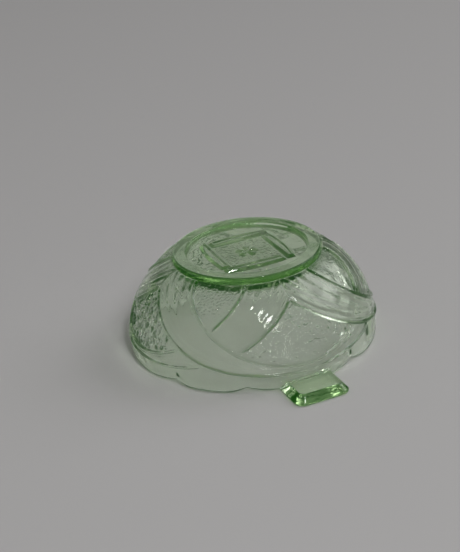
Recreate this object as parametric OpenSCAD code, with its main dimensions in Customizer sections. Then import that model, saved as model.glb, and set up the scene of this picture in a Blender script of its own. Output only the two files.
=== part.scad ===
// Small pressed-glass dish with one tab handle, standing on its rim (foot up).
// The dish is one pressing. Each module below is one named region of that pressing,
// and neighbouring regions meet face to face without overlapping.
// Frame: millimetres, +Z up, origin on the dish axis in the rim plane,
// tab handle towards -Y.

/* [Overall] */
// Diameter across the rim lobes, mm
rim_d = 130; // [120:1:134]
// Height from rim plane to foot face, mm
dish_h = 50; // [46:0.5:54]
// Fullness of the wall curve near the rim
wall_full = 2.065; // [1.9:0.05:2.3]
// Squareness of the wall shoulder
wall_square = 1.383; // [1.25:0.05:1.5]

/* [Rim] */
// Height of the scalloped rim zone, mm
rim_zone_h = 9; // [7:0.5:11]
// Glass thickness at the rim, mm
rim_t = 3.4; // [2.8:0.1:4.4]
// Depth of the notches between lobes, mm
notch_depth = 2.6; // [1.4:0.1:2.8]
// Half width of the four wide lobes, degrees
wide_lobe_half = 27.7; // [26:0.1:29]
// Rounding of the rim edge, mm
rim_round = 0.8; // [0.4:0.1:1]

/* [Foot and base] */
// Outer diameter of the foot ring, mm
foot_d = 76.8; // [72:0.2:80]
// Height of the foot ring, mm
foot_ring_h = 3.8; // [3:0.1:4.6]
// Radial width of the foot ring, mm
foot_ring_w = 6.8; // [5:0.1:8]
// Rounding of the foot ring's edges, mm
foot_round = 0.7; // [0.4:0.1:1.2]
// Depth of the recess inside the foot ring, mm
recess_depth = 3.2; // [2:0.1:4]
// Thickness of the base, mm
base_t = 6.5; // [5:0.1:7.5]

/* [Interlaced bands] */
// Rise of a band above the wall, mm
band_rise = 0.8; // [0.5:0.1:1.2]
// Rise of the ridges along the band edges above the wall, mm
ridge_rise = 1.3; // [1.2:0.1:1.8]
// Vertical width of an edge ridge, mm
ridge_w = 2.2; // [1.4:0.1:3]
// Height where an inner band edge would meet the axis, mm
inner_edge_z = 59.5; // [59:0.5:61]
// Fall of the inner band edge per mm of radius
inner_edge_slope = 0.7405; // [0.725:0.005:0.745]
// Height of the outer band edge at its mitre, mm
outer_edge_z = 38.6; // [37.4:0.2:39.4]
// Fall of the outer band edge per mm of radius
outer_edge_slope = 0.745; // [0.735:0.005:0.76]
// Flattening of the outer band edge towards the rim, per mm
outer_edge_bend = 0.004; // [0.0034:0.0002:0.0042]

/* [Foot ornament] */
// Side of the square inside the woven frame, mm
knot_inner = 28; // [22:0.5:29]
// Width of the frame's bars at the ends, mm
knot_bar = 5; // [3:0.1:6]
// Bulge of each bar's outer edge, mm
knot_bulge = 2.2; // [1:0.1:3]
// Height of the bars, mm
knot_rise = 1.2; // [0.5:0.1:1.8]
// Gap where one bar stops at the next, mm
knot_gap = 0.4; // [0.2:0.1:1]

/* [Tab handle] */
// Reach of the tab past the rim at its base, mm
tab_reach = 18.6; // [14:0.2:22]
// Width of the tab at its base, mm
tab_w = 29.2; // [26:0.2:36]
// Thickness of the tab, mm
tab_t = 4.8; // [3.6:0.1:6.5]
// Inset of the tab's upper face along its sides and tip, mm
tab_slope = 4; // [2:0.1:5]
// Corner radius of the tab in plan, mm
tab_corner = 5; // [3:0.5:7]
// Height of the upright land at the tab's foot, mm
tab_land = 1.4; // [0.5:0.1:2.5]

/* [Hidden] */
$fn = 96;
big = 2 * rim_d;
rim_r = rim_d / 2;
foot_r = foot_d / 2;
shoulder_z = dish_h - foot_ring_h;
cavity_h = dish_h - recess_depth - base_t;
recess_z = dish_h - recess_depth;
base_r = foot_r - foot_ring_w;
cavity_rim_r = rim_r - rim_t;
cavity_floor_r = foot_r - 1.4;
narrow_lobe_half = 45 - wide_lobe_half;
lobe_growth = notch_depth * 1.3;
steps = 13;
colour_glass = [0.62, 0.82, 0.60];
colour_band = [0.50, 0.76, 0.50];
colour_edge = [0.25, 0.60, 0.28];

// Wall curve: radius at the fraction t of the height, easing from rim to shoulder
function curve_r(t, r_top, r_rim) =
    r_top + (r_rim - r_top) * pow(max(0, 1 - pow(t, wall_full)), 1 / wall_square);
function outer_pt(t) = [curve_r(t, foot_r, rim_r), t * shoulder_z];
function inner_pt(t) = [curve_r(t, cavity_floor_r, cavity_rim_r), t * cavity_h];
// Fractions of the height, closer together where the curve turns into the shoulder
low_t = [0.04, 0.1];
zone_t = rim_zone_h / shoulder_z;
wall_t = [for (i = [0:steps]) zone_t + (1 - zone_t) * (1 - pow(1 - i / steps, 1.7))];
function unit(v) = v / norm(v);
function out_normal(t) =
    let (d = unit(outer_pt(min(1, t + 0.004)) - outer_pt(t - 0.004))) [d[1], -d[0]];
function raised_pt(t, rise) =
    t >= 1 ? [foot_r, shoulder_z + rise]
    : let (p = outer_pt(t) + rise * out_normal(t)) [max(foot_r, p[0]), p[1]];

// Closed section between the outer curve and a copy of it raised by "rise"
module raised_section(rise) {
    ts = concat([low_t[1]], wall_t);
    last = len(ts) - 1;
    polygon(concat(
        [for (t = ts) outer_pt(t)],
        [for (i = [last:-1:0]) raised_pt(ts[i], rise)]));
}

module outer_solid() {
    rotate_extrude()
    polygon(concat(
        [[0, 0], [rim_r - rim_round - 0.1, 0], [rim_r - 0.2, rim_round * 0.5]],
        [for (t = concat(low_t, wall_t)) outer_pt(t)],
        [[0, shoulder_z]]));
}

module cavity() {
    rotate_extrude()
    polygon(concat(
        [[0, -1], [cavity_rim_r + rim_round, -1], [cavity_rim_r + rim_round * 0.5, 0]],
        [for (t = concat(low_t, wall_t)) inner_pt(t)],
        [[0, cavity_h]]));
}

// Circle through the lobe's apex and through the notches at its two ends, growing
// with height so that the notches fade out at the top of the rim zone
module lobe(half_deg) {
    notch_r = rim_r - notch_depth;
    nx = notch_r * cos(half_deg);
    ny = notch_r * sin(half_deg);
    c = (rim_r * rim_r - nx * nx - ny * ny) / (2 * (rim_r - nx));
    low = 1;
    grow = lobe_growth / rim_zone_h;
    translate([c, 0, -low])
    cylinder(h = rim_zone_h + 2 * low, r1 = rim_r - c - low * grow,
             r2 = rim_r - c + (rim_zone_h + low) * grow, $fn = 128);
}

// What the outline loses between a wide lobe at 0 and a narrow lobe at 45 degrees
module notch_cutter() {
    near = 0.74 * rim_r;
    far = 1.23 * rim_r;
    a0 = 6;
    a1 = 41;
    difference() {
        translate([0, 0, -0.5])
        linear_extrude(rim_zone_h + 0.4)
        polygon([[near * cos(a0), near * sin(a0)], [far * cos(a0), far * sin(a0)],
                 [far * cos(a1), far * sin(a1)], [near * cos(a1), near * sin(a1)]]);
        lobe(wide_lobe_half);
        rotate(45) lobe(narrow_lobe_half);
    }
}

module scalloped_rim() {
    color(colour_edge)
    difference() {
        outer_solid();
        cavity();
        translate([0, 0, rim_zone_h]) cylinder(h = dish_h, r = big);
        for (k = [0:3]) rotate(90 * k) {
            notch_cutter();
            mirror([0, 1, 0]) notch_cutter();
        }
    }
}

module bowl_wall() {
    color(colour_glass)
    difference() {
        outer_solid();
        cavity();
        translate([0, 0, -1]) cylinder(h = rim_zone_h + 1, r = big);
        cylinder(h = dish_h, r = base_r);
    }
}

module base_disc() {
    color(colour_glass)
    translate([0, 0, cavity_h])
    cylinder(h = base_t, r = base_r);
}

module foot_ring() {
    color(colour_edge)
    rotate_extrude()
    polygon([
        [base_r, shoulder_z], [foot_r, shoulder_z], [foot_r, dish_h - foot_round],
        [foot_r - 0.3 * foot_round, dish_h - 0.3 * foot_round], [foot_r - foot_round, dish_h],
        [base_r + foot_round, dish_h], [base_r, dish_h - foot_round]]);
}

// Four bars round a square. Each has a straight inner edge and a bowed outer edge, runs
// through one corner and stops short of the next bar at the other, as woven strips do.
module foot_knot() {
    half = knot_inner / 2 + knot_bar;
    bow_r = (half * half + knot_bulge * knot_bulge) / (2 * knot_bulge);
    color(colour_band)
    translate([0, 0, recess_z])
    for (k = [0:3]) rotate(90 * k)
    linear_extrude(knot_rise)
    intersection() {
        translate([knot_gap - knot_inner / 2, knot_inner / 2])
        square([knot_inner + knot_bar - knot_gap, knot_bar + knot_bulge]);
        translate([0, half + knot_bulge - bow_r]) circle(bow_r, $fn = 128);
    }
}

// Prism between two edges of a loop, looking along the loop's axis (+X)
module loop_prism(lower_shift, upper_shift, from_lower) {
    n = 6;
    reach = rim_r + 4;
    function low(x) = outer_edge_z - outer_edge_slope * x + outer_edge_bend * x * x;
    function high(x) = inner_edge_z - inner_edge_slope * x;
    rotate([90, 0, 0])
    linear_extrude(big, center = true)
    polygon(from_lower
        ? concat([for (i = [0:n]) [i * reach / n, low(i * reach / n) + lower_shift]],
                 [for (i = [n:-1:0]) [i * reach / n, low(i * reach / n) + upper_shift]])
        : concat([for (i = [0:n]) [i * reach / n, low(i * reach / n) + lower_shift]],
                 [[reach, high(reach) + upper_shift], [0, high(0) + upper_shift]]));
}

module upper_ridge_prism() {
    reach = rim_r + 4;
    function high(x) = inner_edge_z - inner_edge_slope * x;
    rotate([90, 0, 0])
    linear_extrude(big, center = true)
    polygon([[0, high(0) - ridge_w], [reach, high(reach) - ridge_w],
             [reach, high(reach)], [0, high(0)]]);
}

// Loop k runs low round the side facing k and rises to the foot on both sides.
// It passes over its left neighbour and is cut away under its right neighbour.
module band(k) {
    color(colour_band)
    rotate(90 * k - 90)
    difference() {
        union() {
            intersection() {
                rotate_extrude() raised_section(band_rise);
                loop_prism(0, 0, false);
            }
            intersection() {
                rotate_extrude() raised_section(ridge_rise);
                union() {
                    loop_prism(0, ridge_w, true);
                    upper_ridge_prism();
                }
            }
        }
        rotate(90) loop_prism(0, 0, false);
    }
}

module band_front() { band(0); }
module band_right() { band(1); }
module band_back() { band(2); }
module band_left() { band(3); }

// Tab: rounded corners in plan, upright land, then sloped sides and tip
module tab_plan() {
    tip = rim_r + tab_reach;
    half = tab_w / 2;
    corner_x = half - tab_corner;
    corner_y = tab_corner - tip;
    for (s = [-1, 1]) translate([s * corner_x, corner_y, 0]) cylinder(h = tab_t, r = tab_corner);
    translate([-corner_x, -tip, 0]) cube([2 * corner_x, tab_reach + 12, tab_t]);
    translate([-half, corner_y, 0]) cube([2 * half, tab_reach, tab_t]);
}

module tab_handle() {
    tip = rim_r + tab_reach;
    half = tab_w / 2;
    color(colour_edge)
    difference() {
        intersection() {
            tab_plan();
            rotate([90, 0, 0])
            linear_extrude(big, center = true)
            polygon([[-half, 0], [half, 0], [half, tab_land], [half - tab_slope, tab_t],
                     [-half + tab_slope, tab_t], [-half, tab_land]]);
            rotate([90, 0, 90])
            linear_extrude(big, center = true)
            polygon([[-tip, 0], [0, 0], [0, tab_t], [-tip + tab_slope, tab_t],
                     [-tip, tab_land]]);
        }
        intersection() {
            outer_solid();
            rotate(-90) lobe(wide_lobe_half);
        }
    }
}

bowl_wall();
scalloped_rim();
base_disc();
foot_ring();
foot_knot();
tab_handle();
band_front();
band_right();
band_back();
band_left();
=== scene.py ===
"""A pressed uranium-glass dish, standing upside down on its rim: the looks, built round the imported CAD.

The surface of the whole dish is drawn first, as rows (points of the turned section) by columns
(steps round the axis), with the tab let into it. Its faces are then shared out to ten closed
pieces, one for each CAD node, with hidden faces where two pieces meet inside the glass.
"""

import math

import bpy
import numpy as np
from mathutils import Matrix, Vector


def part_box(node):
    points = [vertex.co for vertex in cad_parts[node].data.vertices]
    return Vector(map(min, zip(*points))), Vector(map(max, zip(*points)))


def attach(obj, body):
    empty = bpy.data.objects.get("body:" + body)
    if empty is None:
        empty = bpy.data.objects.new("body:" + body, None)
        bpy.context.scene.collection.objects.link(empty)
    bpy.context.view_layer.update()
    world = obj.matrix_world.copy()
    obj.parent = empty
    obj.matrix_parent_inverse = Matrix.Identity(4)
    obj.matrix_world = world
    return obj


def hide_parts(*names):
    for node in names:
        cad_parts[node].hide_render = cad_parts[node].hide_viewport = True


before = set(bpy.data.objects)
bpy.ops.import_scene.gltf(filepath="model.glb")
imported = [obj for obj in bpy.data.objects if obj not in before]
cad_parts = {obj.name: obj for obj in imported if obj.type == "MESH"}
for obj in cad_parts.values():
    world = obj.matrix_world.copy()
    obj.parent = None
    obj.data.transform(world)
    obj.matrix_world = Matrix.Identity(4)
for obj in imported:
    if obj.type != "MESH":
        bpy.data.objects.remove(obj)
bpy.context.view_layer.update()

# ---------------------------------------------------------------- sizes, in mm, from the CAD
MM = 0.001
RIM_R = 65.0
DISH_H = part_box("foot_ring")[1].z / MM
FOOT_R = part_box("foot_ring")[1].x / MM
SHOULDER_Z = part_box("foot_ring")[0].z / MM
BASE_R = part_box("base_disc")[1].x / MM
CAVITY_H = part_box("base_disc")[0].z / MM
RECESS_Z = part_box("base_disc")[1].z / MM
ZONE_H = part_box("scalloped_rim")[1].z / MM
TAB_LOW, TAB_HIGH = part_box("tab_handle")
TAB_HALF, TAB_TIP, TAB_T = TAB_HIGH.x / MM, -TAB_LOW.y / MM, TAB_HIGH.z / MM
CAVITY_RIM_R, CAVITY_FLOOR_R = RIM_R - 3.4, 37.0
FULL, SQUARE = 2.065, 1.383  # the exponents of the wall's curve
NOTCH, NOTCH_LIFT = 2.6, 2.0  # how far a notch goes in, and how far the edge lifts off the table there
WIDE_HALF, NARROW_HALF = 27.7, 17.3  # degrees from a lobe's middle to its end
EDGE_ROUND, RING_ROUND, FILLET = 1.35, 0.9, 0.8
# each loop's edges, at x across its quarter: z = UPPER_Z - UPPER_SLOPE x,
# and z = LOWER_Z - LOWER_SLOPE x + LOWER_BEND x^2
UPPER_Z, UPPER_SLOPE = 59.5, 0.7405
LOWER_Z, LOWER_SLOPE, LOWER_BEND = 38.6, 0.745, 0.004
KNOT, BAR, BULGE = 14.0, 5.0, 2.2  # the foot's frame: half its inner width, its bars' width, their bow
LAND, SLOPE, CORNER = 1.2, 3.4, 5.0  # the tab: its side's upright part, the inset above it, its corners

COLUMNS = 840
QUARTER = math.pi / 2


def smooth(a, b, x):
    """0 before a, 1 after b, and a smooth step between."""
    t = np.clip((x - a) / (b - a), 0, 1)
    return t * t * (3 - 2 * t)


def bump(x, width):
    """A bell, 1 high at x = 0."""
    return np.exp(-((x / width) ** 2))


# ---------------------------------------------------------------- the section, as one closed line
def curve(t, r_top, r_rim):
    """The wall's radius at the fraction t of its height."""
    return r_top + (r_rim - r_top) * np.maximum(0, 1 - t**FULL) ** (1 / SQUARE)


def resample(points, spacing):
    """The same line with points about this far apart."""
    p = np.asarray(points, float)
    s = np.r_[0, np.cumsum(np.linalg.norm(np.diff(p, axis=0), axis=1))]
    n = max(2, int(round(s[-1] / spacing)) + 1)
    at = np.linspace(0, s[-1], n)
    return np.c_[np.interp(at, s, p[:, 0]), np.interp(at, s, p[:, 1])]


def arc(cx, cz, r, a0, a1, n):
    """n points of an arc, from a0 to a1 degrees."""
    a = np.radians(np.linspace(a0, a1, n))
    return np.c_[cx + r * np.cos(a), cz + r * np.sin(a)]


fine_t = 1 - (1 - np.linspace(0, 1, 400)) ** 1.7
inner_line = np.c_[curve(fine_t, CAVITY_FLOOR_R, CAVITY_RIM_R), fine_t * CAVITY_H]
outer_line = np.c_[curve(fine_t, FOOT_R, RIM_R), fine_t * SHOULDER_Z]

parts = {}
floor_r = np.r_[np.linspace(0.8, BASE_R, 12), np.linspace(BASE_R, CAVITY_FLOOR_R - 1, 4)[1:]]
parts["floor"] = np.c_[floor_r, np.full(len(floor_r), CAVITY_H)]
inner_up = inner_line[::-1]
parts["inner"] = resample(inner_up[inner_up[:, 1] > EDGE_ROUND], 1.3)
parts["edge"] = np.r_[
    arc(CAVITY_RIM_R + EDGE_ROUND, EDGE_ROUND, EDGE_ROUND, 180, 270, 6)[1:],
    arc(RIM_R - EDGE_ROUND, EDGE_ROUND, EDGE_ROUND, 270, 360, 6),
]
parts["outer"] = resample(outer_line[outer_line[:, 1] > EDGE_ROUND + 0.2], 0.42)[:-1]
parts["ring"] = np.r_[
    arc(FOOT_R + 0.35, SHOULDER_Z + 0.35, 0.35, 235, 180, 4),
    resample([(FOOT_R, SHOULDER_Z + 0.6), (FOOT_R, DISH_H - RING_ROUND - 0.2)], 0.45),
    arc(FOOT_R - RING_ROUND, DISH_H - RING_ROUND, RING_ROUND, 0, 90, 7),
    resample([(FOOT_R - RING_ROUND - 0.5, DISH_H), (BASE_R + RING_ROUND + 0.5, DISH_H)], 0.8),
    arc(BASE_R + RING_ROUND, DISH_H - RING_ROUND, RING_ROUND, 90, 180, 7),
    resample([(BASE_R, DISH_H - RING_ROUND - 0.3), (BASE_R, RECESS_Z + FILLET + 0.3)], 0.5),
]
parts["recess"] = np.r_[
    arc(BASE_R - FILLET, RECESS_Z + FILLET, FILLET, 0, -90, 5),
    resample([(BASE_R - FILLET - 0.4, RECESS_Z), (0.45, RECESS_Z)], 0.46),
]
names = ["floor", "inner", "edge", "outer", "ring", "recess"]
start, section = {}, []
for n in names:
    start[n] = sum(len(x) for x in section)
    section.append(parts[n])
section = np.concatenate(section)
ROWS = len(section)
row_part = np.repeat(names, [len(parts[n]) for n in names])[:, None]
d = np.gradient(section, axis=0)
d /= np.linalg.norm(d, axis=1)[:, None]
section_n = np.c_[-d[:, 1], d[:, 0]]  # points out of the glass
section_n *= -1 if section_n[start["outer"] + 20, 0] < 0 else 1

theta = np.arange(COLUMNS) * 2 * math.pi / COLUMNS  # 0 looks along -Y, grows towards +X
R = np.repeat(section[:, :1], COLUMNS, 1)
Z = np.repeat(section[:, 1:], COLUMNS, 1)
NR = np.repeat(section_n[:, :1], COLUMNS, 1)
NZ = np.repeat(section_n[:, 1:], COLUMNS, 1)
TH = np.repeat(theta[None], ROWS, 0)


# ---------------------------------------------------------------- pebbled glass
def scatter(ix, iy, seed):
    """A fixed number from 0 to 1 for each whole-number place."""
    h = (ix * 374761393 + iy * 668265263 + seed * 2246822519) & 0xFFFFFFFF
    h = ((h ^ (h >> 13)) * 1274126177) & 0xFFFFFFFF
    return ((h ^ (h >> 16)) & 0xFFFF) / 65535.0


def pebbles(u, v, size, seed, wrap=None):
    """Domes round scattered points, one to a cell, 0 to 1 high. u wraps after `wrap` cells."""
    cu, cv = np.floor(u / size).astype(np.int64), np.floor(v / size).astype(np.int64)
    best = np.full(u.shape, 9.0)
    for dx in (-1, 0, 1):
        for dy in (-1, 0, 1):
            ix, iy = cu + dx, cv + dy
            hx = ix % wrap if wrap else ix
            px = ix + 0.15 + 0.7 * scatter(hx, iy, seed)
            py = iy + 0.15 + 0.7 * scatter(hx, iy, seed + 7)
            grow = 0.8 + 0.45 * scatter(hx, iy, seed + 13)
            best = np.minimum(best, ((u / size - px) ** 2 + (v / size - py) ** 2) / grow**2)
    return np.sqrt(np.clip(1 - best / 0.42, 0, 1))


# ---------------------------------------------------------------- the bands on the wall
def band_fields():
    """For each loop, how far inside its upper and its lower edge a point of the wall is, in mm."""
    out = []
    for k in range(4):
        rho = TH - k * QUARTER
        x, nx = R * np.cos(rho), NR * np.cos(rho)
        upper = UPPER_Z - UPPER_SLOPE * x - Z
        lower = Z - (LOWER_Z - LOWER_SLOPE * x + LOWER_BEND * x * x)
        pair = []
        for field, gx, gz in ((upper, -UPPER_SLOPE, -1.0), (lower, LOWER_SLOPE - 2 * LOWER_BEND * x, 1.0)):
            along_wall = gx**2 + gz**2 - (gx * nx + gz * NZ) ** 2
            pair.append(field / np.sqrt(np.maximum(along_wall, 0.02)))
        out.append((*pair, x))
    return out


def band_section(m):
    """Height across a band, m mm in from its nearer edge: ridge, groove, broad crown."""
    ridge = 0.75 * bump(m - 0.9, 0.5)
    groove = 0.3 * bump(m - 2.1, 0.5)
    crown = 0.4 * smooth(2.2, 6, m)
    flutes = 0.12 * np.cos(m * 1.6 - 5.0) * smooth(2.2, 3.8, m)
    return smooth(0, 0.55, m) * (0.6 + ridge - groove + crown + flutes)


fields = band_fields()
inside = [np.where(x > -0.3, np.minimum(u, l), -9) for u, l, x in fields]
height = np.zeros_like(R)
label = np.full(R.shape, -1)  # the loop that shows at each point, or -1
# each loop dips under the next one and rises a little over the last one
for k in range(4):
    over = inside[(k + 1) % 4]
    own = band_section(inside[k])
    dip = 0.25 + 0.75 * smooth(0.0, 3.2, -over)
    own = own * np.where(over > -9, dip, 1)
    own *= 1 - 0.55 * bump(fields[k][2], 0.45)
    crossing = smooth(-1.5, 2.0, inside[(k - 1) % 4])
    own *= 1 + 0.18 * crossing
    mine = (inside[k] > 0) & ~(over > 0) & (fields[k][2] > 0)
    height = np.where(mine, own, height)
    label = np.where(mine, k, label)

along_section = np.r_[0, np.cumsum(np.linalg.norm(np.diff(section, axis=0), axis=1))]
V = np.repeat(along_section[:, None], COLUMNS, 1)


def pebbled(around, size, seed):
    """Pebbles on the wall: so many round the dish, and this long in mm up the section."""
    return pebbles(TH / (2 * math.pi) * around, V / size, 1.0, seed, around)


coarse, between, finer = pebbled(128, 2.8, 11), pebbled(256, 1.05, 17), pebbled(330, 0.95, 29)
relief = height.copy()
for k in range(4):
    up, low = (k + 1) % 4, (k - 1) % 4
    panel = np.minimum(np.minimum(-fields[k][0], -fields[up][1]), -fields[low][1])
    panel = np.where(fields[k][2] > 0, panel, -9)
    relief += smooth(0.1, 0.9, panel) * (1.1 * coarse + 0.28 * between - 0.9)
    tri = np.minimum(-fields[k][0], -fields[up][0])
    tri = np.where((fields[k][2] > 0) & (fields[up][2] > 0), tri, -9)
    relief += smooth(0.1, 0.8, tri) * (0.42 * finer - 0.5)
on_wall = row_part == "outer"
relief = np.where(on_wall, relief, 0)
# the relief dies out where the wall meets the foot ring
relief *= 1 - 0.5 * smooth(FOOT_R + 1.2, FOOT_R, R) * on_wall

# the hollow sinks a little behind the thick bands, and has slight waves
sink = sum(smooth(-2.5, 3.5, np.minimum(u, l)) * (x > 0) for u, l, x in fields)
sink = 0.22 * sink * smooth(6, 12, Z) * smooth(CAVITY_FLOOR_R + 1, CAVITY_FLOOR_R + 5, R)
WAVES = (1, 9, 0.31, 0), (0.8, 14, -0.37, 1), (0.7, 23, 0.23, 2), (0.6, 5, -0.52, 4)
waves = sum(size * np.sin(around * TH + rise * Z + shift) for size, around, rise, shift in WAVES)
waves = 0.13 * waves * smooth(1.5, 5, Z) * smooth(CAVITY_FLOOR_R + 1, CAVITY_FLOOR_R + 5, R)
relief = np.where(row_part == "inner", -sink - waves, relief)

R2 = R + NR * relief
Z2 = Z + NZ * relief


# ---------------------------------------------------------------- the scalloped rim
def lobe_radius(half_deg, ang, z):
    """Distance from the axis to a lobe's round side, at an angle from its middle and a height."""
    notch_r = RIM_R - NOTCH
    centre = (RIM_R**2 - notch_r**2) / (2 * (RIM_R - notch_r * math.cos(math.radians(half_deg))))
    rad = RIM_R - centre + z * NOTCH * 1.3 / ZONE_H
    return centre * np.cos(ang) + np.sqrt(np.maximum(rad**2 - (centre * np.sin(ang)) ** 2, 1))


def lobes_at(z):
    to_wide = (TH + QUARTER / 2) % QUARTER - QUARTER / 2
    to_narrow = TH % QUARTER - QUARTER / 2
    return np.maximum(lobe_radius(WIDE_HALF, to_wide, z), lobe_radius(NARROW_HALF, to_narrow, z))


lobes = lobes_at(Z)
soft = 0.16
low_zone = (Z < ZONE_H + 4) & (R > 50)
gap = lobes - R2
squeezed = R2 + np.where(gap < 4, -soft * np.log1p(np.exp(np.clip(-gap / soft, -60, 60))), 0)
outside = on_wall | ((row_part == "edge") & (R > RIM_R - 1.3))
R2 = np.where(low_zone & outside, squeezed, R2)
# the hollow follows the notches a little, so the glass keeps its thickness there
hollow_side = low_zone & ~outside & np.isin(row_part, ("floor", "inner", "edge"))
R2 = R2 - np.where(hollow_side, 0.55 * np.clip(RIM_R - lobes, 0, 4), 0)
# the edge lifts off the table at the notches
notch = np.clip((RIM_R - lobes_at(0)) / NOTCH, 0, 1)
Z2 = Z2 + np.where(R > 50, NOTCH_LIFT * notch**1.6 * np.exp(-Z / 4.5), 0)

# ---------------------------------------------------------------- the ornament inside the foot
X, Y = R2 * np.sin(TH), -R2 * np.cos(TH)
in_recess = (row_part == "recess") & (R < BASE_R - 1)
bow = ((KNOT + BAR) ** 2 + BULGE**2) / (2 * BULGE)
ornament = np.zeros_like(R)
bars = np.zeros(R.shape, bool)
for k in range(4):
    c, s = math.cos(k * QUARTER), math.sin(k * QUARTER)
    a, b = c * X + s * Y, -s * X + c * Y  # along the bar and across it
    outer_edge = bow - np.hypot(a, b - (KNOT + BAR + BULGE - bow))
    m = np.minimum(np.minimum(b - KNOT, outer_edge), np.minimum(a + KNOT - 0.4, KNOT + BAR + 0.6 - a))
    rise = 1.5 * smooth(0, 1.6, m) * (0.55 + 0.45 * bump(m - 1.3, 0.85))
    rise *= 0.75 + 0.3 * smooth(-KNOT, KNOT, a)
    ornament = np.maximum(ornament, np.where(m > 0, rise, 0))
    bars |= in_recess & (m > 0)
square = KNOT - np.maximum(np.abs(X), np.abs(Y))
ornament += smooth(0.3, 1.2, square) * 0.22 * pebbles(X + 60, Y + 60, 1.25, 41)
rr, aa = np.hypot(X, Y), np.arctan2(Y, X)
petals = smooth(6.4, 4.6, rr) * smooth(0.8, 2.2, rr) * (0.3 + 0.6 * np.cos(5 * aa))
ornament += 1.1 * np.maximum(petals + 0.4 * bump(rr, 1.1), 0)
Z2 = Z2 + np.where(in_recess, ornament, 0)

P = np.stack([R2 * np.sin(TH), -R2 * np.cos(TH), Z2], -1)

# ---------------------------------------------------------------- the tab, drawn out of the rim
tab_cols = int(round(math.asin(TAB_HALF / RIM_R) / (2 * math.pi) * COLUMNS))
row0 = start["edge"] + 7
row1 = start["outer"] + int(np.searchsorted(parts["outer"][:, 1], TAB_T - 0.2))
cols = np.arange(-tab_cols, tab_cols + 1) % COLUMNS
PN, PM = row1 - row0 + 1, len(cols)
tab_z = TAB_T * (1 - np.cos(math.pi * np.linspace(0, 1, PN))) / 2


def tab_inset(z):
    """How far the side stands in from the tab's widest outline at height z."""
    low = 0.6 * (1 - np.sqrt(np.clip(1 - (1 - np.clip(z / 0.6, 0, 1)) ** 2, 0, 1)))
    slope = (SLOPE - 0.35) * np.clip((z - LAND) / (TAB_T - LAND), 0, 1)
    top = 0.5 * smooth(TAB_T - 0.4, TAB_T, z)
    return low + slope + top


def tab_outline(f, z):
    """Point at the fraction f (-1 to 1) along the tip's outline at height z."""
    i = tab_inset(z)
    half, tip, rc = TAB_HALF - i, TAB_TIP - i, np.maximum(CORNER - 0.6 * i, 1.5)
    straight = half - rc
    total = straight + rc * math.pi / 2
    s = np.abs(f) * total
    a = np.clip((s - straight) / rc, 0, math.pi / 2)
    x = np.where(s < straight, s, straight + rc * np.sin(a))
    y = np.where(s < straight, tip, tip - rc + rc * np.cos(a))
    return np.sign(f) * x, -y


f = np.linspace(-1, 1, PM)
tip_z = tab_z[:, None].repeat(PM, 1)
tip_patch = np.stack([*tab_outline(f[None].repeat(PN, 0), tip_z), tip_z], -1)
# the tube joins the outline cut in the rim to the tab's tip, point by point round the same loop
loop = (
    [(0, j) for j in range(PM - 1)]
    + [(i, PM - 1) for i in range(PN - 1)]
    + [(PN - 1, j) for j in range(PM - 1, 0, -1)]
    + [(i, 0) for i in range(PN - 1, 0, -1)]
)
li, lj = np.array([a for a, _ in loop]), np.array([b for _, b in loop])
root_loop = P[row0 + li, cols[lj]]
tip_loop = tip_patch[li, lj]
RINGS = 36
k = np.arange(RINGS + 1) / RINGS
full_x = f[lj] * (TAB_HALF - tab_inset(tab_z[li]))
tube = np.zeros((RINGS + 1, len(loop), 3))
for n, t in enumerate(k):
    q = root_loop * (1 - t) + tip_loop * t
    settle = smooth(0, 0.09, t)
    side = full_x * (1 - smooth(0.45, 1, t)) + tip_loop[:, 0] * smooth(0.45, 1, t)
    q[:, 0] = root_loop[:, 0] * (1 - settle) + side * settle
    q[:, 2] = root_loop[:, 2] * (1 - settle) + tip_loop[:, 2] * settle
    tube[n] = q
on_top = (li == PN - 1)[None] & (k > 0.07)[:, None] & (k < 0.97)[:, None]
inner_f = 1 - smooth(0.86, 0.95, np.abs(f[lj]))
stipple = pebbles(tube[..., 0] + 40, tube[..., 1] + 120, 1.3, 57)
along = smooth(0.1, 0.16, k) * smooth(0.93, 0.87, k)
tube[..., 2] -= np.where(on_top, along[:, None] * inner_f[None] * (0.05 - 0.05 * stipple), 0)
tube[0], tube[-1] = root_loop, tip_loop

# ---------------------------------------------------------------- the whole surface, before it is shared out
grid_id = np.arange(ROWS * COLUMNS).reshape(ROWS, COLUMNS)
count = ROWS * COLUMNS
tube_id = np.zeros((RINGS + 1, len(loop)), int)
tube_id[0] = grid_id[row0 + li, cols[lj]]
tube_id[1:RINGS] = count + np.arange((RINGS - 1) * len(loop)).reshape(RINGS - 1, -1)
count += (RINGS - 1) * len(loop)
tip_id = count + np.arange(PN * PM).reshape(PN, PM)
tube_id[RINGS] = tip_id[li, lj]
count += PN * PM
pole_in, pole_out = count, count + 1
verts = np.concatenate([
    P.reshape(-1, 3), tube[1:RINGS].reshape(-1, 3), tip_patch.reshape(-1, 3),
    [[0, 0, CAVITY_H]], [[0, 0, Z2[-1].mean()]],
])


def quads(ids, wrap):
    """The four-sided faces of a grid of ids. With wrap, its last column joins its first."""
    a = ids if not wrap else np.c_[ids, ids[:, :1]]
    return np.stack([a[:-1, :-1], a[:-1, 1:], a[1:, 1:], a[1:, :-1]], -1)


cells = quads(grid_id, True)
cut = np.zeros(cells.shape[:2], bool)
cut[row0:row1][:, cols[:-1]] = True
tab_faces = np.concatenate([quads(tube_id, True).reshape(-1, 4), quads(tip_id, False).reshape(-1, 4)])
fan_in = np.c_[np.full(COLUMNS, pole_in), np.roll(grid_id[0], -1), grid_id[0]]
fan_out = np.c_[np.full(COLUMNS, pole_out), grid_id[-1], np.roll(grid_id[-1], -1)]


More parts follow.
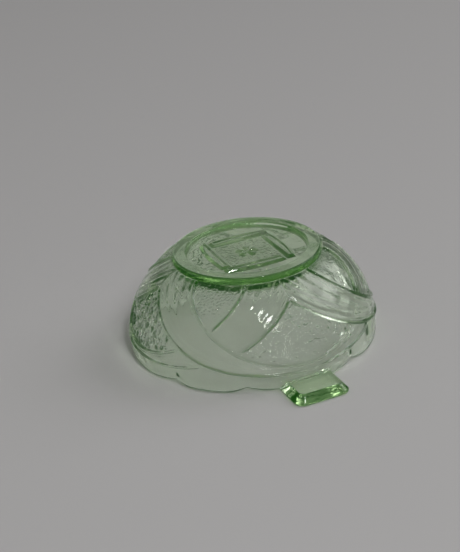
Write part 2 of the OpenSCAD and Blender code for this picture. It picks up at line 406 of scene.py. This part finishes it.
def vertex_normals(points, *face_sets):
    """Area-weighted normals, out of the glass."""
    n = np.zeros_like(points)
    for f in face_sets:
        c = np.cross(points[f[:, 2]] - points[f[:, 0]], points[f[:, -1]] - points[f[:, 1]])
        for corner in f.T:
            for axis in range(3):
                n[:, axis] += np.bincount(corner, c[:, axis], len(points))
    return n / np.maximum(np.linalg.norm(n, axis=1), 1e-12)[:, None]


normals = vertex_normals(verts, cells[~cut], tab_faces, fan_in, fan_out)


def add(points, around):
    """New points, in the shape of the id array they come back as."""
    global verts, normals
    ids = len(verts) + np.arange(int(np.prod(points.shape[:-1]))).reshape(points.shape[:-1])
    verts = np.concatenate([verts, points.reshape(-1, 3)])
    normals = np.concatenate([normals, around.reshape(-1, 3)])
    return ids


# ---------------------------------------------------------------- which node each face belongs to
NODES = ["base_disc", "bowl_wall", "scalloped_rim", "foot_ring", "band_front", "band_right",
         "band_back", "band_left", "foot_knot", "tab_handle"]
row_base = 11  # the floor's last point inside the foot ring's inner side
row_in = start["inner"] + int(np.argmin(abs(parts["inner"][:, 1] - ZONE_H)))
row_out = start["outer"] + int(np.argmin(abs(parts["outer"][:, 1] - ZONE_H)))
row_ring, row_recess = start["ring"], start["recess"]
under = np.zeros(cut.shape, int)  # the node, as a place in NODES, that each cell's glass belongs to
for first, last, node in ((row_base, row_in, 1), (row_in, row_out, 2), (row_out, row_ring, 1),
                          (row_ring, row_recess, 3)):
    under[first:last] = node


def corners(a):
    """The values at the four corners of each cell, in the order that quads() has them."""
    a = np.c_[a, a[:, :1]]
    return np.stack([a[:-1, :-1], a[:-1, 1:], a[1:, 1:], a[1:, :-1]])


def all_round(mask):
    """Grid points with the mask set in all four cells round them."""
    m = np.zeros(R.shape, bool)
    left = np.roll(mask, 1, axis=1)
    m[1:-1] = mask[:-1] & mask[1:] & left[:-1] & left[1:]
    return m


# the bands and the bars are skins on top: nodes 4 to 8
FIRST_SKIN, TAB = NODES.index("band_front"), NODES.index("tab_handle")
skin = np.where(bars, 4, np.where(on_wall, label, -1))
four = corners(skin)
owner = np.where((four == four[0]).all(0) & (four[0] >= 0), four[0] + FIRST_SKIN, under)
owner[:start["outer"]] = under[:start["outer"]]
for n in range(FIRST_SKIN, TAB):
    # cells too near the skin's edge to have a back of their own go to the node under it
    for _ in range(12):
        mine = owner == n
        deep = corners(all_round(mine))
        drop = mine & ~deep.any(0)
        drop |= mine & np.roll(mine, -1, axis=1) & ~deep[1] & ~deep[2]
        drop[:-1] |= mine[:-1] & mine[1:] & ~deep[2][:-1] & ~deep[3][:-1]
        owner = np.where(drop, under, owner)
owner[cut] = TAB
covered = owner >= FIRST_SKIN
raised = np.where(bars, ornament, relief)
depth = np.clip(raised - 0.02, 0.08, 1.6)
grid_n = normals[grid_id]
hidden = all_round(covered)
gap_depth = np.where(all_round(owner == TAB), 0.05, depth + 0.05)
under_id = np.where(hidden, add(P - grid_n * gap_depth[..., None], grid_n), grid_id)


def fans(faces, first):
    """Each four-sided face as two triangles that share the diagonal from its corner `first`."""
    turned = np.take_along_axis(faces, (first[:, None] + np.arange(4)) % 4, 1)
    return np.concatenate([turned[:, [0, 1, 2]], turned[:, [0, 2, 3]]])


shares = {n: [] for n in NODES}  # node: (faces, 1 where the face is hidden inside the glass)
under_cells = quads(under_id, True)
for n in range(FIRST_SKIN):
    shares[NODES[n]].append((under_cells[(under == n) & ~covered], 0))
    shares[NODES[n]].append((under_cells[(under == n) & covered], 1))
for n in range(FIRST_SKIN, TAB):
    mine = owner == n
    inner_points = all_round(mine)
    back = np.where(inner_points, add(P - grid_n * depth[..., None], grid_n), grid_id)
    # at the skin's edge the front and the back share corners, and must not share a diagonal
    deep = corners(inner_points)
    at_edge = mine & ~deep.all(0)
    for ids, flag in ((grid_id, 0), (back, 1)):
        c = quads(ids, True)
        for faces in (c[mine & ~at_edge], fans(c[at_edge], deep.argmax(0)[at_edge])):
            shares[NODES[n]].append((faces[:, ::-1] if flag else faces, flag))
shares["tab_handle"] += [(tab_faces, 0), (cells[cut][:, ::-1], 1)]
shares["base_disc"] += [(fan_in, 0), (fan_out, 0)]


def meeting(a, b, towards, piece, other):
    """The face where two pieces meet, from ring a to ring b, bowed apart a little between them."""
    for sign, node in ((1, piece), (-1, other)):
        f = np.linspace(0, 1, 5)[1:-1, None, None]
        mid = verts[a] * (1 - f) + verts[b] * f - sign * 0.04 * towards
        ids = np.concatenate([a[None], add(mid, np.broadcast_to(towards, mid.shape)), b[None]])
        q = quads(ids, True).reshape(-1, 4)
        c = np.cross(verts[q[0, 2]] - verts[q[0, 0]], verts[q[0, 3]] - verts[q[0, 1]])
        outward = sign * (c @ np.broadcast_to(towards, (COLUMNS, 3))[0]) > 0
        shares[node].append((q if outward else q[:, ::-1], 1))


radial = np.stack([np.sin(theta), -np.cos(theta), 0 * theta], -1)
upward = np.array([0.0, 0.0, 1.0])
junction = add(radial * BASE_R + upward * SHOULDER_Z, radial)
meeting(under_id[row_in], under_id[row_out], upward, "scalloped_rim", "bowl_wall")
meeting(under_id[row_ring], junction, upward, "bowl_wall", "foot_ring")
meeting(junction, under_id[row_recess], radial, "base_disc", "foot_ring")
meeting(under_id[row_base], junction, radial, "base_disc", "bowl_wall")


def mesh_object(name, share):
    """A mesh of its share of the faces, which takes its normals from the whole surface."""
    flat = np.concatenate([f.ravel() for f, _ in share])
    sizes = np.concatenate([np.full(len(f), f.shape[1]) for f, _ in share])
    inside = np.concatenate([np.full(len(f), float(flag)) for f, flag in share])
    used, index = np.unique(flat, return_inverse=True)
    me = bpy.data.meshes.new(name)
    me.vertices.add(len(used))
    me.loops.add(len(flat))
    me.polygons.add(len(sizes))
    me.vertices.foreach_set("co", (verts[used] * MM).astype(np.float32).ravel())
    me.loops.foreach_set("vertex_index", index.astype(np.int32).ravel())
    me.polygons.foreach_set("loop_start", (np.cumsum(sizes) - sizes).astype(np.int32))
    me.update(calc_edges=True)
    me.attributes.new("inside", "FLOAT", "FACE").data.foreach_set("value", inside.astype(np.float32))
    me.shade_smooth()
    me.normals_split_custom_set_from_vertices(normals[used].astype(np.float32))
    ob = bpy.data.objects.new(name, me)
    bpy.context.scene.collection.objects.link(ob)
    return ob


# ---------------------------------------------------------------- glass
def glass(name, density, painted_glow=0.006, worn_from=None):
    """Clear green glass, with a faint painted green glow on its surface in place of the glass's
    fluorescence. Its face from the height `worn_from`, in metres, upwards is slightly matt.
    """
    mat = bpy.data.materials.new(name)
    mat.use_nodes = True
    nt = mat.node_tree
    p = nt.nodes["Principled BSDF"]
    out = nt.nodes["Material Output"]
    p.inputs["Base Color"].default_value = (1.0, 1.0, 1.0, 1)
    p.inputs["Transmission Weight"].default_value = 1.0
    p.inputs["IOR"].default_value = 1.51
    p.inputs["Roughness"].default_value = 0.0
    # painted glow: a faint green emission that brightens the glass, most where it is thick and green, though
    # no lamp makes it glow
    p.inputs["Emission Color"].default_value = (0.08, 1.0, 0.02, 1)
    p.inputs["Emission Strength"].default_value = painted_glow
    co = nt.nodes.new("ShaderNodeTexCoord")
    if worn_from:
        xyz = nt.nodes.new("ShaderNodeSeparateXYZ")
        worn = nt.nodes.new("ShaderNodeMapRange")
        worn.inputs["From Min"].default_value = worn_from
        worn.inputs["From Max"].default_value = worn_from + 0.2 * MM
        scuffs = nt.nodes.new("ShaderNodeTexNoise")
        scuffs.inputs["Scale"].default_value = 220.0
        scuffs.inputs["Detail"].default_value = 4.0
        matt = nt.nodes.new("ShaderNodeMapRange")
        matt.inputs["From Min"].default_value = 0.3
        matt.inputs["From Max"].default_value = 0.7
        matt.inputs["To Min"].default_value = 0.06
        matt.inputs["To Max"].default_value = 0.15
        both = nt.nodes.new("ShaderNodeMath")
        both.operation = "MULTIPLY"
        nt.links.new(co.outputs["Object"], xyz.inputs[0])
        nt.links.new(xyz.outputs["Z"], worn.inputs["Value"])
        nt.links.new(co.outputs["Object"], scuffs.inputs["Vector"])
        nt.links.new(scuffs.outputs["Fac"], matt.inputs["Value"])
        nt.links.new(worn.outputs["Result"], both.inputs[0])
        nt.links.new(matt.outputs["Result"], both.inputs[1])
        nt.links.new(both.outputs["Value"], p.inputs["Roughness"])
    noise = nt.nodes.new("ShaderNodeTexNoise")
    noise.inputs["Scale"].default_value = 70.0
    noise.inputs["Detail"].default_value = 2.0
    bm = nt.nodes.new("ShaderNodeBump")
    bm.inputs["Strength"].default_value = 0.12
    bm.inputs["Distance"].default_value = 0.0015
    nt.links.new(co.outputs["Object"], noise.inputs["Vector"])
    nt.links.new(noise.outputs["Fac"], bm.inputs["Height"])
    nt.links.new(bm.outputs["Normal"], p.inputs["Normal"])
    # the faces where two pieces meet inside the glass bend and reflect nothing
    met = nt.nodes.new("ShaderNodeAttribute")
    met.attribute_name = "inside"
    clear = nt.nodes.new("ShaderNodeBsdfTransparent")
    mix = nt.nodes.new("ShaderNodeMixShader")
    nt.links.new(met.outputs["Fac"], mix.inputs["Fac"])
    nt.links.new(p.outputs["BSDF"], mix.inputs[1])
    nt.links.new(clear.outputs["BSDF"], mix.inputs[2])
    nt.links.new(mix.outputs["Shader"], out.inputs["Surface"])
    vol = nt.nodes.new("ShaderNodeVolumeAbsorption")
    vol.inputs["Color"].default_value = (0.50, 0.93, 0.12, 1)
    vol.inputs["Density"].default_value = density
    nt.links.new(vol.outputs["Volume"], out.inputs["Volume"])
    return mat


pale_glass = glass("pale_green_glass", 14.0)
base_glass = glass("base_green_glass", 21.0)
finish = {
    "scalloped_rim": glass("edge_green_glass", 17.0),
    "base_disc": base_glass,
    "foot_knot": base_glass,
    # the foot ring and the tab get a stronger painted green glow
    "foot_ring": glass("foot_green_glass", 22.0, painted_glow=0.014, worn_from=(DISH_H - 0.3) * MM),
    "tab_handle": glass("tab_green_glass", 31.0, painted_glow=0.009),
}
for node in NODES:
    at_edge = node in ("scalloped_rim", "foot_ring", "tab_handle")
    piece = mesh_object("glass_" + node, shares[node])
    piece.data.materials.append(finish.get(node, pale_glass))
    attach(piece, "root")
    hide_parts(node)


# ---------------------------------------------------------------- floor, light, camera
HALF_FLOOR = 4.0
floor_corners = [(x * HALF_FLOOR, y * HALF_FLOOR, 0) for x, y in ((-1, -1), (1, -1), (1, 1), (-1, 1))]
floor_mesh = bpy.data.meshes.new("floor")
floor_mesh.from_pydata(floor_corners, [], [(0, 1, 2, 3)])
floor = bpy.data.objects.new("floor", floor_mesh)
floor.location.z = -0.1 * MM
bpy.context.scene.collection.objects.link(floor)
fm = bpy.data.materials.new("pale_floor")
fm.use_nodes = True
fp = fm.node_tree.nodes["Principled BSDF"]
fp.inputs["Base Color"].default_value = (0.60, 0.590, 0.588, 1)
fp.inputs["Roughness"].default_value = 0.75
fp.inputs["Specular IOR Level"].default_value = 0.1
floor_mesh.materials.append(fm)

world = bpy.data.worlds.new("studio")
bpy.context.scene.world = world
world.use_nodes = True
wt = world.node_tree
bg = wt.nodes["Background"]
sky_co = wt.nodes.new("ShaderNodeTexCoord")
sky_xyz = wt.nodes.new("ShaderNodeSeparateXYZ")
sky = wt.nodes.new("ShaderNodeValToRGB")
wt.links.new(sky_co.outputs["Generated"], sky_xyz.inputs[0])
wt.links.new(sky_xyz.outputs["Z"], sky.inputs["Fac"])
wt.links.new(sky.outputs["Color"], bg.inputs["Color"])
stops = sky.color_ramp.elements
stops[0].position, stops[0].color = 0.08, (0.50, 0.50, 0.49, 1)
stops[1].position, stops[1].color = 0.65, (0.70, 0.695, 0.69, 1)
dark = stops.new(0.2)
dark.color = (0.25, 0.25, 0.25, 1)
bg.inputs["Strength"].default_value = 0.325


def direction(azimuth, elevation):
    """The direction from the dish to a lamp or camera, in degrees. Azimuth 0 is the tab's side."""
    a, e = math.radians(azimuth), math.radians(elevation)
    return Vector((math.sin(a) * math.cos(e), -math.cos(a) * math.cos(e), math.sin(e)))


def area(name, azimuth, elevation, distance, size, power):
    """A rectangular lamp that faces a point a little above the floor in the middle of the dish."""
    light = bpy.data.lights.new(name, "AREA")
    light.shape = "RECTANGLE"
    light.size, light.size_y = size
    light.energy = power
    ob = bpy.data.objects.new(name, light)
    at = direction(azimuth, elevation)
    ob.location = Vector((0, 0, 0.02)) + at * distance
    ob.rotation_euler = at.to_track_quat("Z", "Y").to_euler()
    bpy.context.scene.collection.objects.link(ob)


VIEW = -22.3
area("window", VIEW + 22, 44, 2.4, (0.21, 0.75), 9.4)
area("window_core", VIEW + 20, 47, 2.25, (0.09, 0.375), 4.1)
area("window_low", VIEW + 29, 37, 2.25, (0.075, 0.3), 2.8)
area("softbox", VIEW + 112, 36, 5.2, (4.4, 2.8), 80.0)

cam = bpy.data.cameras.new("camera")
cam_ob = bpy.data.objects.new("camera", cam)
bpy.context.scene.collection.objects.link(cam_ob)
bpy.context.scene.camera = cam_ob
ELEVATION, ROLL, DISTANCE = 27.79, 4.86, 11.078 * RIM_R * MM
# in image pixels: the focal length, the height, and how far right and down the dish's origin lies
FOCAL_PX, FRAME_H, OFF_CENTRE = 1351.0, 552, (23.6, 55.4)
back = direction(VIEW, ELEVATION)
r = math.radians(ROLL)
right = Vector((math.cos(math.radians(VIEW)), math.sin(math.radians(VIEW)), 0))
up = back.cross(right)
right, up = right * math.cos(r) - up * math.sin(r), right * math.sin(r) + up * math.cos(r)
ahead = (-back - right * (OFF_CENTRE[0] / FOCAL_PX) + up * (OFF_CENTRE[1] / FOCAL_PX)).normalized()
right = ahead.cross(up).normalized()
up = right.cross(ahead)
cam_ob.matrix_world = Matrix((
    (right.x, up.x, -ahead.x, back.x * DISTANCE),
    (right.y, up.y, -ahead.y, back.y * DISTANCE),
    (right.z, up.z, -ahead.z, back.z * DISTANCE),
    (0, 0, 0, 1),
))
cam.sensor_fit = "VERTICAL"
cam.sensor_height = 36.0
cam.lens = FOCAL_PX * cam.sensor_height / FRAME_H
cam.clip_start = 0.01

scene = bpy.context.scene
scene.view_settings.view_transform = "Standard"
scene.cycles.blur_glossy = 0.0  # light that reaches the table through the glass stays in
scene.cycles.sample_clamp_indirect = 14.0
scene.cycles.max_bounces = 28
scene.cycles.transmission_bounces = 28
scene.cycles.transparent_max_bounces = 32
